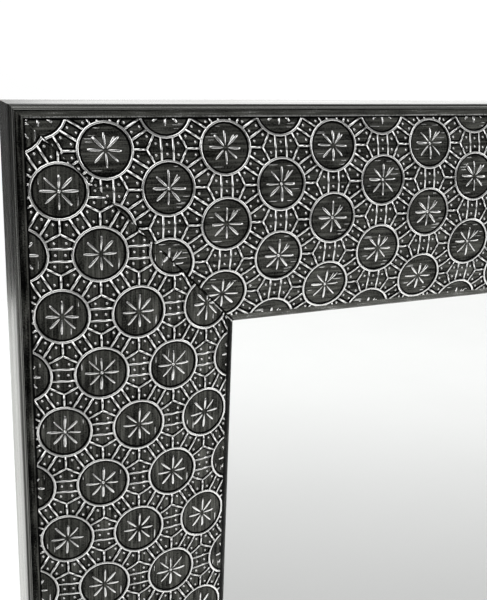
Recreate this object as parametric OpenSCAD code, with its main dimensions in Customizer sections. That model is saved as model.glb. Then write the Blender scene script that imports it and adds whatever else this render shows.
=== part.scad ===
// Full-length wall mirror with a wide mitred frame.
// A convex timber moulding is faced with thin embossed metal and edged with a plain metal strip.
// The glass, its packing and a backing board drop into a rebate from behind and are kept by
// turn buttons. Two strap hangers with swinging rings carry the mirror on the wall.
// X runs across, Z runs up and the glass faces -Y. The origin is under the middle of the frame.

/* [Overall] */
// Width over the frame
frame_w = 700; // [500:1:900]
// Height over the frame
frame_h = 1700; // [1200:1:2000]

/* [Moulding] */
// Width of each mitred member
member_w = 100; // [85:0.5:115]
// Distance from the outer edge to the crest of the face
crest_at = 52.7; // [45:0.1:60]
// Radius of the convex face, measured across the member
face_r = 172; // [150:1:260]
// Radius of the roll that turns the face down to the glass
roll_r = 6; // [3:0.5:8]
// Depth of the glass rebate's ledge behind the crest
ledge_at = 17; // [15:0.5:24]
// Width of the glass rebate
rebate_w = 10; // [8:0.5:14]

/* [Metal facing] */
// Thickness of the embossed sheet
skin_t = 0.8; // [0.4:0.1:1.2]
// Thickness of the plain edge strip
strip_t = 0.8; // [0.5:0.1:1.2]
// Glue film between the metal and what it lies on
glue_gap = 0.1; // [0.05:0.05:0.2]
// How far the edge strip laps over the face
rim_w = 2.2; // [1.8:0.1:4]
// Radius of the fine bead along that lap
bead_r = 0.5; // [0.3:0.05:0.7]
// Radius of the strip's outer corner
strip_corner_r = 0.7; // [0.4:0.1:1]
// How far the edge strip returns onto the back
return_w = 8; // [5:0.5:12]

/* [Glass and back] */
// Thickness of the cushioning tape on the ledge
tape_t = 1; // [0.5:0.1:2]
// Width of the cushioning tape
tape_w = 6; // [4:0.5:7]
// Gap between one strip of tape and the next
tape_gap = 0.6; // [0.2:0.1:2]
// Thickness of the mirror glass
glass_t = 4; // [3:0.5:6]
// Thickness of the shatter film on the silvered side
film_t = 0.4; // [0.2:0.1:0.6]
// Thickness of the foam packing sheet
packing_t = 4; // [2:0.5:8]
// Thickness of the backing board
board_t = 3; // [2.5:0.5:6]
// Room between the glass and the side of the rebate
glass_gap = 2; // [1:0.25:3]
// Room between the backing board and the side of the rebate
board_gap = 1.5; // [1:0.25:3]
// Length of each setting block
block_l = 40; // [20:1:60]
// Distance from a rebate corner to the nearest setting block
block_inset = 90; // [40:1:140]

/* [Turn buttons] */
// Width of a turn button
button_w = 12; // [10:0.5:14]
// Distance between the centres of its round ends
button_reach = 16; // [13:0.5:20]
// Thickness of a turn button
button_t = 1.2; // [0.8:0.1:2]
// Distance from the rebate to the button's screw
button_inset = 9; // [8:0.5:14]
// Axial clearance under and over a button
button_gap = 0.1; // [0.05:0.05:0.3]
// Radius of the button screw's shank
button_screw_r = 1.75; // [1.5:0.05:2]
// Clearance of a button round its screw
button_play = 0.08; // [0.05:0.01:0.15]
// Radius of the button screw's head
button_head_r = 3.4; // [3:0.1:4]
// Length of the button screw in the timber
button_screw_l = 14; // [8:0.5:16]

/* [Hangers] */
// Distance from the top of the frame to the ring's pivot
hang_drop = 420; // [200:5:600]
// Distance from the outer edge to the middle of a hanger
hanger_inset = 45; // [30:1:60]
// Width of the strap
strap_w = 14; // [10:0.5:18]
// Length of the strap below the ring's pivot
strap_l = 58; // [45:1:80]
// Thickness of the strap
strap_t = 1.6; // [1.2:0.1:2]
// Radius of the ring's wire
wire_r = 1.5; // [1:0.1:2]
// Running clearance of the ring's wire in the strap's eye
wire_gap = 0.05; // [0.02:0.01:0.1]
// Air between the hanging ring and the strap
ring_air = 0.5; // [0.3:0.1:1]
// Half the width of the ring, to the middle of its wire
ring_half_w = 13; // [12:0.5:16]
// Length of the ring's straight legs
ring_leg = 5; // [3:0.5:10]

/* [Fixings] */
// Radius of the wood screws' shank
screw_r = 1.75; // [1.5:0.05:2]
// Radius of the wood screws' countersunk head
screw_head_r = 3.5; // [3:0.1:4]
// Length of the wood screws
screw_l = 16; // [10:0.5:18]
// Clearance round a screw or nail in the timber
fixing_gap = 0.05; // [0.02:0.01:0.1]
// Width of the corner plates' legs
plate_w = 18; // [14:0.5:22]
// Length of the corner plates' legs
plate_l = 70; // [50:1:90]
// Thickness of the corner plates
plate_t = 1.5; // [1:0.1:2.5]
// Distance from the outer edges to a corner plate
plate_inset = 36; // [33:0.5:42]
// Length of each wing of a V-nail
vnail_l = 8; // [6:0.5:10]
// Thickness of a V-nail's steel
vnail_t = 0.6; // [0.4:0.1:0.8]
// Height of a V-nail
vnail_h = 10; // [7:0.5:12]
// Distance from the outer edges to the outer V-nail
vnail_outer = 22; // [18:0.5:26]
// Distance from the outer edges to the inner V-nail
vnail_inner = 74; // [68:0.5:78]
// Widest distance between the tacks in the edge strip's return
tack_pitch = 160; // [120:5:240]
// Distance from a corner to the nearest tack
tack_end = 60; // [45:1:90]
// Radius of a tack's head
tack_head_r = 1.8; // [1.4:0.1:2.2]
// Radius of a tack's shank
tack_r = 0.6; // [0.4:0.05:0.8]
// Length of a tack
tack_l = 9; // [6:0.5:14]

/* [Wall bumpers] */
// Radius of a wall bumper
bumper_r = 7; // [5:0.5:9]
// Height of a wall bumper
bumper_t = 8; // [7.5:0.5:12]
// Distance from the side of the frame to a bumper
bumper_inset = 20; // [18:0.5:24]
// Distance from the end of the frame to a bumper
bumper_end = 120; // [110:1:160]

/* [Hidden] */
$fn = 48;
face_fn = 720;
eps = 0.5;

back_at = ledge_at + tape_t + glass_t + film_t + packing_t + board_t + button_gap;
overall_d = back_at + bumper_t;
front_y = -overall_d / 2;
back_y = front_y + back_at;
rebate_at = member_w - rebate_w;
glass_at = rebate_at + glass_gap;
board_at = rebate_at + board_gap;
core_side = strip_t + glue_gap;
core_front = skin_t + glue_gap;
roll_h = member_w - roll_r;
roll_d = face_r - sqrt(pow(face_r - roll_r, 2) - pow(roll_h - crest_at, 2));
strip_face_r = face_r + glue_gap + strip_t;
corner_d = face_r - sqrt(pow(strip_face_r - strip_corner_r, 2) - pow(crest_at - strip_corner_r, 2));
bead_h = 0.6 * rim_w;
bead_d = face_r - sqrt(pow(strip_face_r, 2) - pow(crest_at - bead_h, 2));
button_at = rebate_at - button_inset;
button_rows = [1, 3, 5];
sight_h = frame_h - 2 * member_w;
ring_axis = strap_t + ring_air + wire_r;
eye_r = wire_r + wire_gap;
strap_screws = [0.42, 0.82];
plate_screws = [0.42, 0.84];
screw_head_h = screw_head_r - screw_r;
screw_tip = 3;
slot_w = 0.8;
slot_d = 0.9;
button_head_h = 1.6;
button_hole_r = button_screw_r + button_play;
tack_head_h = 0.6;
bumper_bore_r = 4;
bumper_floor = 2.5;
vnail_angle = 45;

// Colours as the photograph shows them, and plain ones inside
metal_dark = [0.16, 0.16, 0.15];
metal_edge = [0.55, 0.55, 0.53];
timber = [0.72, 0.58, 0.42];
steel = [0.72, 0.72, 0.74];
glass_tint = [0.86, 0.89, 0.91];
film_blue = [0.35, 0.42, 0.48];
foam_white = [0.92, 0.92, 0.9];
board_brown = [0.55, 0.42, 0.3];
rubber_black = [0.12, 0.12, 0.12];

// Depth of the face behind the crest, at a distance from the outer edge
function face_depth(h) = face_r - sqrt(pow(face_r, 2) - pow(h - crest_at, 2));

// Number of equal steps that keep the tacks no further apart than their pitch
function tack_steps(length) = ceil((length - 2 * tack_end) / tack_pitch);

// The member's frame: X from the outer edge inwards, Y backwards from the crest, Z along it

// Everything behind the face and inside the sight edge, set back by an even amount
module behind_face(set_back) {
    tangent_h = crest_at + (roll_h - crest_at) * (face_r - set_back) / (face_r - roll_r);
    intersection() {
        translate([crest_at, face_r]) circle(r = face_r - set_back, $fn = face_fn);
        translate([-eps, -eps]) square([tangent_h + eps, roll_d + 2 * eps]);
    }
    translate([roll_h, roll_d]) circle(r = roll_r - set_back);
    translate([-eps, roll_d]) square([member_w - set_back + eps, 2 * back_at]);
}

module core_section() {
    difference() {
        intersection() {
            behind_face(core_front);
            translate([core_side, 0]) square([member_w, back_at]);
        }
        translate([rebate_at, ledge_at]) square([rebate_w + eps, back_at]);
    }
}

module facing_section() {
    intersection() {
        difference() {
            behind_face(0);
            behind_face(skin_t);
        }
        translate([core_side, -eps]) square([member_w, ledge_at + eps]);
    }
}

// Rounded corner and flat side of the edge strip, with its lap over the face
module strip_outline() {
    intersection() {
        translate([crest_at, face_r]) circle(r = strip_face_r, $fn = face_fn);
        translate([strip_corner_r, 0]) square([member_w, back_at + strip_t]);
    }
    translate([strip_corner_r, corner_d]) circle(r = strip_corner_r);
    translate([0, corner_d]) square([member_w, back_at + strip_t - corner_d]);
}

module strip_section() {
    intersection() {
        strip_outline();
        union() {
            difference() {
                square([rim_w, back_at]);
                translate([crest_at, face_r]) circle(r = face_r + glue_gap, $fn = face_fn);
            }
            square([strip_t, back_at + strip_t]);
            translate([0, back_at]) square([return_w, strip_t]);
        }
    }
    difference() {
        translate([bead_h, bead_d]) circle(r = bead_r);
        translate([crest_at, face_r]) circle(r = face_r + glue_gap + strip_t / 2, $fn = face_fn);
    }
}

// A length of section with both ends cut to the mitre
module mitred(length) {
    intersection() {
        linear_extrude(height = length) children();
        translate([0, back_at + 2 * strip_t, 0]) rotate([90, 0, 0])
            linear_extrude(height = back_at + 4 * strip_t)
                polygon([[0, 0], [member_w, member_w], [member_w, length - member_w], [0, length]]);
    }
}

// Where each member's own frame lies in the mirror
module on_left() translate([-frame_w / 2, front_y, 0]) children();
module on_right() mirror([1, 0, 0]) on_left() children();
module on_bottom() translate([-frame_w / 2, front_y, 0]) mirror([1, 0, -1]) children();
module on_top() translate([0, 0, frame_h]) mirror([0, 0, 1]) on_bottom() children();

// A corner's own frame: X and Z inwards from the outer corner, Y backwards from the timber's back
module at_corner(right, top) {
    translate([(right - 0.5) * frame_w, back_y, top * frame_h])
        mirror([right, 0, 0]) mirror([0, 0, top]) children();
}

module at_corners() {
    for (right = [0, 1])
        for (top = [0, 1])
            at_corner(right, top) children();
}

// Turns a fixing drawn with its head upwards so that it is driven in from behind
module from_behind() rotate([-90, 0, 0]) children();

module cross_slot(head_r) {
    for (turn = [0, 90])
        rotate(turn) translate([-head_r / 2, -slot_w / 2, -slot_d]) cube([head_r, slot_w, slot_d + eps]);
}

module countersunk_screw() {
    difference() {
        rotate_extrude() polygon([
            [0, 0], [screw_head_r, 0], [screw_r, -screw_head_h],
            [screw_r, screw_tip - screw_l], [0, -screw_l]
        ]);
        cross_slot(screw_head_r);
    }
}

// The hole that a countersunk screw needs, from just above its head
module screw_hole() {
    sink_r = screw_head_r + fixing_gap;
    translate([0, 0, -screw_l - fixing_gap]) cylinder(r = screw_r + fixing_gap, h = screw_l + eps);
    rotate_extrude() polygon([
        [0, eps], [sink_r, eps], [sink_r, 0], [sink_r - screw_head_h, -screw_head_h], [0, -screw_head_h]
    ]);
}

// Places of the fixings, each in the frame that it is called in

module at_plate_screws() {
    for (share = plate_screws) {
        translate([plate_inset + share * plate_l, plate_t, plate_inset + plate_w / 2]) from_behind() children();
        translate([plate_inset + plate_w / 2, plate_t, plate_inset + share * plate_l]) from_behind() children();
    }
}

module at_v_nails() {
    for (out = [vnail_outer, vnail_inner])
        translate([out, 0, out]) children();
}

module at_bumper() translate([bumper_inset, 0, bumper_end]) children();

module at_bumpers() at_corners() at_bumper() children();

// A point of the stile's back, measured inwards from the outer edge and upwards
module on_stile_back(right, inset, up) {
    mirror([right, 0, 0]) translate([-frame_w / 2 + inset, back_y, up]) children();
}

module at_hanger(right) on_stile_back(right, hanger_inset, frame_h - hang_drop) children();

module at_hanger_screws(right) {
    at_hanger(right)
        for (share = strap_screws)
            translate([0, strap_t, -share * strap_l]) from_behind() children();
}

// Each button's own frame has its pivot at the origin and points along +X over the board
module at_stile_button(right, row) {
    on_stile_back(right, button_at, member_w + sight_h * row / 6) children();
}

module at_rail_button(top) {
    translate([0, back_y, top * frame_h]) mirror([0, 0, top])
        translate([0, 0, button_at]) rotate([0, -90, 0]) children();
}

module at_buttons() {
    for (right = [0, 1])
        for (row = button_rows)
            at_stile_button(right, row) children();
    for (top = [0, 1])
        at_rail_button(top) children();
}

module at_tacks() {
    for (right = [0, 1])
        for (i = [0 : tack_steps(frame_h)])
            on_stile_back(right, return_w / 2, tack_end + i * (frame_h - 2 * tack_end) / tack_steps(frame_h))
                children();
    for (top = [0, 1])
        for (i = [0 : tack_steps(frame_w)])
            translate([
                -frame_w / 2 + tack_end + i * (frame_w - 2 * tack_end) / tack_steps(frame_w),
                back_y,
                top * frame_h + (1 - 2 * top) * return_w / 2
            ]) children();
}

// What is drilled, sawn or driven into the timber
module timber_holes() {
    at_corners() at_plate_screws() screw_hole();
    at_corners() at_v_nails() v_nail(fixing_gap);
    at_bumpers() bumper_hole();
    for (right = [0, 1]) at_hanger_screws(right) screw_hole();
    at_buttons() from_behind() button_screw_hole();
    at_tacks() from_behind() tack_hole();
}

module button_screw_hole() {
    translate([0, 0, -button_screw_l - fixing_gap])
        cylinder(r = button_screw_r + fixing_gap, h = button_screw_l + eps);
}

module tack_hole() {
    translate([0, 0, -tack_l - fixing_gap]) cylinder(r = tack_r + fixing_gap, h = tack_l + 2 * strip_t + eps);
}

module bumper_hole() {
    translate([0, bumper_floor, 0]) from_behind() screw_hole();
}

// Timber cores
module core(length) mitred(length) core_section();

module stile_left_core() color(timber) difference() {
    on_left() core(frame_h);
    timber_holes();
}

module stile_right_core() color(timber) difference() {
    on_right() core(frame_h);
    timber_holes();
}

module rail_top_core() color(timber) difference() {
    on_top() core(frame_w);
    timber_holes();
}

module rail_bottom_core() color(timber) difference() {
    on_bottom() core(frame_w);
    timber_holes();
}

// Embossed metal facings
module facing(length) color(metal_dark) mitred(length) facing_section();

module stile_left_facing() on_left() facing(frame_h);
module stile_right_facing() on_right() facing(frame_h);
module rail_top_facing() on_top() facing(frame_w);
module rail_bottom_facing() on_bottom() facing(frame_w);

// Plain metal edge strips, bored for their tacks
module edge_strip(length) mitred(length) strip_section();

module edge_strip_left() color(metal_edge) difference() {
    on_left() edge_strip(frame_h);
    at_tacks() from_behind() tack_hole();
}

module edge_strip_right() color(metal_edge) difference() {
    on_right() edge_strip(frame_h);
    at_tacks() from_behind() tack_hole();
}

module edge_strip_top() color(metal_edge) difference() {
    on_top() edge_strip(frame_w);
    at_tacks() from_behind() tack_hole();
}

module edge_strip_bottom() color(metal_edge) difference() {
    on_bottom() edge_strip(frame_w);
    at_tacks() from_behind() tack_hole();
}

// A flat sheet centred in the frame, its edge this far from the outer edge
module sheet(edge_at, depth, thickness) {
    translate([edge_at - frame_w / 2, front_y + depth, edge_at])
        cube([frame_w - 2 * edge_at, thickness, frame_h - 2 * edge_at]);
}

module mirror_glass() color(glass_tint) sheet(glass_at, ledge_at + tape_t, glass_t);

module shatter_film() color(film_blue) sheet(glass_at, ledge_at + tape_t + glass_t, film_t);

module foam_packing() color(foam_white)
    sheet(glass_at, ledge_at + tape_t + glass_t + film_t, packing_t);

module backing_board() color(board_brown)
    sheet(board_at, ledge_at + tape_t + glass_t + film_t + packing_t, board_t);

// Cushioning tape on the ledge, under each edge of the glass
module rebate_tape() color(rubber_black) {
    tape_end = rebate_at + tape_w + tape_gap;
    for (side = [-1, 1])
        translate([side * (frame_w / 2 - rebate_at - tape_w / 2) - tape_w / 2, front_y + ledge_at, rebate_at])
            cube([tape_w, tape_t, frame_h - 2 * rebate_at]);
    for (top = [0, 1])
        translate([
            tape_end - frame_w / 2,
            front_y + ledge_at,
            top * (frame_h - 2 * rebate_at - tape_w) + rebate_at
        ]) cube([frame_w - 2 * tape_end, tape_t, tape_w]);
}

// Blocks that centre the glass in its rebate
module setting_blocks() color(rubber_black) at_corners() {
    translate([rebate_at, tape_t + ledge_at - back_at, rebate_at + block_inset])
        cube([glass_gap, glass_t, block_l]);
    translate([rebate_at + block_inset, tape_t + ledge_at - back_at, rebate_at])
        cube([block_l, glass_t, glass_gap]);
}

// A turn button, pivoting about Y at its origin and pointing along +X
module turn_button() color(steel) translate([0, button_gap, 0]) difference() {
    union() {
        rotate([-90, 0, 0]) cylinder(d = button_w, h = button_t);
        translate([button_reach, 0, 0]) rotate([-90, 0, 0]) cylinder(d = button_w, h = button_t);
        translate([0, 0, -button_w / 2]) cube([button_reach, button_t, button_w]);
    }
    translate([0, -eps, 0]) rotate([-90, 0, 0]) cylinder(r = button_hole_r, h = button_t + 2 * eps);
}

// A pan-head screw that holds a turn button without clamping it
module button_screw() {
    head_at = button_t + 2 * button_gap;
    from_behind() difference() {
        rotate_extrude() polygon([
            [0, head_at + button_head_h], [0.75 * button_head_r, head_at + button_head_h],
            [button_head_r, head_at + 0.5 * button_head_h], [button_head_r, head_at],
            [button_screw_r, head_at], [button_screw_r, screw_tip - button_screw_l], [0, -button_screw_l]
        ]);
        translate([0, 0, head_at + button_head_h]) cross_slot(button_head_r);
    }
}

module turn_button_screws() color(steel) at_buttons() button_screw();

// Strap hanger: a flat strap whose top end is rolled into an eye for the ring
module strap_hanger(right) color(steel) difference() {
    at_hanger(right) {
        translate([-strap_w / 2, 0, strap_w / 2 - strap_l]) cube([strap_w, strap_t, strap_l - strap_w / 2]);
        translate([0, 0, strap_w / 2 - strap_l]) rotate([-90, 0, 0]) cylinder(d = strap_w, h = strap_t);
        difference() {
            translate([-strap_w / 2, ring_axis, 0]) rotate([0, 90, 0]) cylinder(r = eye_r + strap_t, h = strap_w);
            translate([-strap_w, ring_axis, 0]) rotate([0, 90, 0]) cylinder(r = eye_r, h = 2 * strap_w);
        }
    }
    at_hanger_screws(right) screw_hole();
}

// Hanging ring: a bar through the strap's eye, two legs and a half round
module d_ring(right) color(steel) at_hanger(right) translate([0, ring_axis, 0]) {
    translate([-ring_half_w, 0, 0]) rotate([0, 90, 0]) cylinder(r = wire_r, h = 2 * ring_half_w);
    for (side = [-1, 1])
        translate([side * ring_half_w, 0, 0]) {
            sphere(r = wire_r);
            translate([0, 0, -ring_leg]) cylinder(r = wire_r, h = ring_leg);
        }
    translate([0, 0, -ring_leg]) rotate([90, 0, 0]) intersection() {
        rotate_extrude() translate([ring_half_w, 0]) circle(r = wire_r);
        translate([-2 * ring_half_w, -2 * ring_half_w, -2 * wire_r])
            cube([4 * ring_half_w, 2 * ring_half_w, 4 * wire_r]);
    }
}

module hanger_screws() color(steel)
    for (right = [0, 1])
        at_hanger_screws(right) countersunk_screw();

// Flat steel corner plate over each mitre
module corner_plate(right, top) color(steel) at_corner(right, top) difference() {
    translate([plate_inset, 0, plate_inset]) {
        cube([plate_l, plate_t, plate_w]);
        cube([plate_w, plate_t, plate_l]);
    }
    at_plate_screws() screw_hole();
}

module corner_screws() color(steel) at_corners() at_plate_screws() countersunk_screw();

// V-nail driven across the mitre from behind, or with a clearance the cut that it makes
module v_nail(clearance) {
    for (turn = [vnail_angle / 2, 90 - vnail_angle / 2])
        rotate([0, -turn, 0]) translate([-clearance, -vnail_h - clearance, -vnail_t / 2 - clearance])
            cube([vnail_l + 2 * clearance, vnail_h + 2 * clearance, vnail_t + 2 * clearance]);
}

module v_nails() color(steel) at_corners() at_v_nails() v_nail(0);

// Round-headed tack through the strip's return
module tack() {
    rotate_extrude() polygon([
        [0, strip_t + tack_head_h], [0.6 * tack_head_r, strip_t + tack_head_h], [tack_head_r, strip_t],
        [tack_r, strip_t], [tack_r, 2 * tack_r - tack_l], [0, -tack_l]
    ]);
}

module edge_strip_tacks() color(steel) at_tacks() from_behind() tack();

// Rubber bumper with a well for its screw
module wall_bumpers() color(rubber_black) at_bumpers() from_behind() difference() {
    cylinder(r = bumper_r, h = bumper_t);
    translate([0, 0, bumper_floor]) {
        cylinder(r = bumper_bore_r, h = bumper_t);
        screw_hole();
    }
}

module bumper_screws() color(steel)
    at_bumpers() translate([0, bumper_floor, 0]) from_behind() countersunk_screw();

stile_left_core();
stile_right_core();
rail_top_core();
rail_bottom_core();
stile_left_facing();
stile_right_facing();
rail_top_facing();
rail_bottom_facing();
edge_strip_left();
edge_strip_right();
edge_strip_top();
edge_strip_bottom();
mirror_glass();
shatter_film();
rebate_tape();
setting_blocks();
foam_packing();
backing_board();
at_stile_button(0, 1) turn_button();  // turn_button_left_low
at_stile_button(0, 3) turn_button();  // turn_button_left_mid
at_stile_button(0, 5) turn_button();  // turn_button_left_high
at_stile_button(1, 1) turn_button();  // turn_button_right_low
at_stile_button(1, 3) turn_button();  // turn_button_right_mid
at_stile_button(1, 5) turn_button();  // turn_button_right_high
at_rail_button(1) turn_button();  // turn_button_top
at_rail_button(0) turn_button();  // turn_button_bottom
turn_button_screws();
strap_hanger(0);  // strap_hanger_left
strap_hanger(1);  // strap_hanger_right
d_ring(0);  // d_ring_left
d_ring(1);  // d_ring_right
hanger_screws();
corner_plate(0, 1);  // corner_plate_top_left
corner_plate(1, 1);  // corner_plate_top_right
corner_plate(0, 0);  // corner_plate_bottom_left
corner_plate(1, 0);  // corner_plate_bottom_right
corner_screws();
v_nails();
edge_strip_tacks();
wall_bumpers();
bumper_screws();
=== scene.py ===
"""Full-length wall mirror in a wide, mitred frame faced with embossed, antiqued metal.

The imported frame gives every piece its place. This file makes the finish: the embossed facings and
edge strips, the silvered glass, the timber, the back and its hardware, and the studio round them.
"""

import math
import random

import bmesh
import bpy
from bpy.props import FloatProperty, FloatVectorProperty, IntProperty, PointerProperty
from bpy.types import Operator, Panel, PropertyGroup
from mathutils import Matrix, Vector, noise


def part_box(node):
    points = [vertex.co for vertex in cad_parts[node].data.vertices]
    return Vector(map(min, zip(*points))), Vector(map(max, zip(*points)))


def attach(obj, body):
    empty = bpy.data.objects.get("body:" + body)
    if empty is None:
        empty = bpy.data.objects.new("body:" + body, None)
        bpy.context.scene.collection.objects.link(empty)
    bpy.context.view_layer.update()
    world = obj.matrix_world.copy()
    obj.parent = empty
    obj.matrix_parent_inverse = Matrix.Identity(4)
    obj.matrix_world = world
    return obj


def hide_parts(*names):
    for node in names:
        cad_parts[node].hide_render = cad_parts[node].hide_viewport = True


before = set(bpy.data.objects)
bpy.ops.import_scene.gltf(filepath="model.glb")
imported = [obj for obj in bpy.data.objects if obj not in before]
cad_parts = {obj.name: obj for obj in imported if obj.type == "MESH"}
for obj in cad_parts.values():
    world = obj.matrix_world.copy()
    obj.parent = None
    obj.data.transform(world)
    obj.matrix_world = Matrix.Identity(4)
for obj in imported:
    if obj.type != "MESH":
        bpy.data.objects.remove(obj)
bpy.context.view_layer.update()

bl_info = {
    "name": "Embossed full-length mirror",
    "version": (1, 0, 0),
    "blender": (4, 5, 0),
    "location": "View3D > Sidebar > Mirror",
    "description": "Builds the pieces and finishes of a full-length mirror with an embossed metal frame",
    "category": "Object",
}

MM = 0.001
ROOT = "frame"
STILES = ("stile_left", "stile_right")
RAILS = ("rail_top", "rail_bottom")
MEMBERS = STILES + RAILS


def number(name, description, default, **unit):
    return FloatProperty(name=name, description=description, default=default, **unit)


def length(name, description, default_mm):
    """A size in millimetres as a property in Blender's metres."""
    return number(name, description, default_mm * MM, precision=5, subtype="DISTANCE", unit="LENGTH")


def colour(name, description, default):
    return FloatVectorProperty(
        name=name, description=description, default=default, size=3, min=0.0, max=1.0, subtype="COLOR"
    )


class MouldingSettings(PropertyGroup):
    """Section of the frame's members, measured inwards from the outer edge and back from the crest."""

    member_width: length("Member width", "Width of each mitred member", 100)
    crest_at: length("Crest", "Distance from the outer edge to the crest", 52.7)
    face_radius: length("Face radius", "Radius of the convex face", 172)
    roll_radius: length("Roll radius", "Radius of the roll beside the glass", 6)
    ledge_at: length("Ledge", "Depth of the rebate's ledge behind the crest", 17)
    strip_thickness: length("Strip thickness", "Thickness of the plain edge strip", 0.8)
    glue: length("Glue", "Glue film under the metal", 0.1)
    rim_width: length("Rim", "How far the edge strip laps over the face", 2.2)
    return_width: length("Return", "How far the edge strip laps over the back", 8)
    seam: length("Seam", "Half the gap in each mitre of the facing", 0.015)


class EmbossSettings(PropertyGroup):
    """The medallion pattern of the facings."""

    pitch: length("Pitch", "Distance between medallions across a member", 33.2)
    row_step: length("Row step", "Distance between rows of medallions along a member", 26.75)
    inset: length("Inset", "Distance from the outer edge to the pattern's first line", 2.0)
    margin: length("Margin", "Plain border between the first line and the embossing", 3.9)
    ring_radius: length("Ring radius", "Radius of a medallion's ring", 11.7)
    ridge_width: length("Ridge width", "Width of a ridge at its base", 1.34)
    relief: length("Relief", "Height of the ridges over the ground", 0.55)
    sheet: length("Sheet", "Thickness of the embossed sheet", 0.25)
    bar_offset: length("Bar offset", "Distance from a bridge's middle to each of its bars", 2.7)
    dot_radius: length("Dot radius", "Radius of the raised dots", 0.80)
    ray_inner: length("Ray start", "Distance from a medallion's centre to its rays", 0.5)
    ray_outer: length("Ray end", "Distance from a medallion's centre to the rays' tips", 8.1)
    ray_width: length("Ray width", "Widest part of a ray, with its black edges", 1.9)
    rays: IntProperty(name="Rays", description="Number of rays in each medallion", default=8, min=4, max=12)
    waver: length("Waver", "How far hand-cut dies let the pattern wander", 0.16)
    seed: IntProperty(name="Seed", description="Seed of the small uneven marks", default=7, min=1)


class FinishSettings(PropertyGroup):
    """Colours of the finishes."""

    silver: colour("Silver", "Metal rubbed bare on the ridges", (0.98, 0.98, 0.965))
    ground: colour("Ground", "Metal under the antiquing between the ridges", (0.100, 0.101, 0.091))
    patina: colour("Patina", "Blackest antiquing, at the foot of each ridge", (0.004, 0.004, 0.004))
    strip: colour("Edge strip", "Darkened metal of the edge strip", (0.42, 0.425, 0.40))
    timber: colour("Timber", "Planed softwood", (0.62, 0.43, 0.25))
    board: colour("Board", "Pressed backing board", (0.23, 0.125, 0.06))
    zinc: colour("Zinc", "Zinc-plated steel", (0.55, 0.57, 0.59))
    nickel: colour("Nickel", "Nickel-plated wire and strap", (0.72, 0.70, 0.66))
    rubber: colour("Rubber", "Bumpers, tape and blocks", (0.022, 0.022, 0.023))
    film: colour("Film", "Shatter film behind the glass", (0.16, 0.24, 0.32))
    foam: colour("Foam", "Packing sheet", (0.80, 0.80, 0.78))
    floor: colour("Floor", "Studio floor", (0.86, 0.86, 0.855))


class StudioSettings(PropertyGroup):
    """Camera, lights and floor."""

    camera_right: length("Camera across", "Camera's place to the right of the mirror's middle", -411.9)
    camera_forward: length("Camera depth", "Camera's place along the mirror's depth", -369.3)
    camera_up: length("Camera height", "Camera's height over the mirror's foot", 1731.4)
    camera_axis: FloatVectorProperty(
        name="Camera turn",
        description="Turn of the camera from looking straight at the mirror",
        default=(math.radians(17.21), math.radians(-1.60), math.radians(24.36)),
        size=3,
        subtype="EULER",
        unit="ROTATION",
    )
    lens: number("Lens", "Focal length", 53.15, unit="CAMERA")
    floor_light: number("Floor light", "Strength of the broad light on the floor", 2.50)
    side: number("Side", "Power of the softbox on the right", 16.0, unit="POWER")
    walls: number("Walls", "Light from the dim studio at eye level", 0.18)
    ceiling: number("Ceiling", "Light from straight above", 1.5)


SETTINGS = {
    "mirror_moulding": MouldingSettings,
    "mirror_emboss": EmbossSettings,
    "mirror_finish": FinishSettings,
    "mirror_studio": StudioSettings,
}


def settings(name):
    return getattr(bpy.context.scene, f"mirror_{name}")


def tint(name):
    """A finish's colour as plain numbers."""
    return tuple(getattr(settings("finish"), name))


def scaled(values, factor):
    return tuple(factor * value for value in values)


# Shader nodes


def feed(socket, value):
    """Links a socket to another node's socket, or sets its plain value."""
    if isinstance(value, bpy.types.NodeSocket):
        socket.id_data.links.new(value, socket)
    else:
        socket.default_value = (*value, 1.0) if socket.type == "RGBA" else value


def add_node(tree, kind, inputs=None, **options):
    """Adds a node, sets its options and feeds its inputs."""
    node = tree.nodes.new(kind)
    for option, value in options.items():
        setattr(node, option, value)
    for key, value in (inputs or {}).items():
        feed(node.inputs[key], value)
    return node


def chain(kind, inputs, **options):
    """Adds a node to the tree that its linked inputs come from, and returns its outputs."""
    tree = next(value.id_data for value in inputs.values() if isinstance(value, bpy.types.NodeSocket))
    return add_node(tree, kind, inputs, **options).outputs


def calculate(operation, first, second=0.0, clamp=False):
    return chain("ShaderNodeMath", {0: first, 1: second}, operation=operation, use_clamp=clamp)[0]


def plus(first, second):
    return calculate("ADD", first, second)


def minus(first, second, clamp=False):
    return calculate("SUBTRACT", first, second, clamp)


def times(first, second):
    return calculate("MULTIPLY", first, second)


def separate(vector):
    return chain("ShaderNodeSeparateXYZ", {0: vector})


def mix_colour(share, first, second):
    """Mixes two colours, given as tuples of three or as sockets."""
    return chain("ShaderNodeMix", {0: share, 6: first, 7: second}, data_type="RGBA")[2]


def dimmed(colour_socket, factor):
    """A colour times a factor, which may change over the surface."""
    return chain("ShaderNodeVectorMath", {0: colour_socket, "Scale": factor}, operation="SCALE")[0]


def remap(value, from_low, from_high, to_low=0.0, to_high=1.0):
    inputs = {"Value": value, "From Min": from_low, "From Max": from_high, "To Min": to_low, "To Max": to_high}
    return chain("ShaderNodeMapRange", inputs, interpolation_type="SMOOTHSTEP")["Result"]


def stretched_noise(vector, scale, detail=2.0, roughness=0.5):
    """Noise whose scale differs along X, Y and Z, in cycles to the metre."""
    mapped = chain("ShaderNodeMapping", {"Vector": vector, "Scale": scale})[0]
    inputs = {"Vector": mapped, "Scale": 1.0, "Detail": detail, "Roughness": roughness}
    return chain("ShaderNodeTexNoise", inputs)["Fac"]


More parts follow.
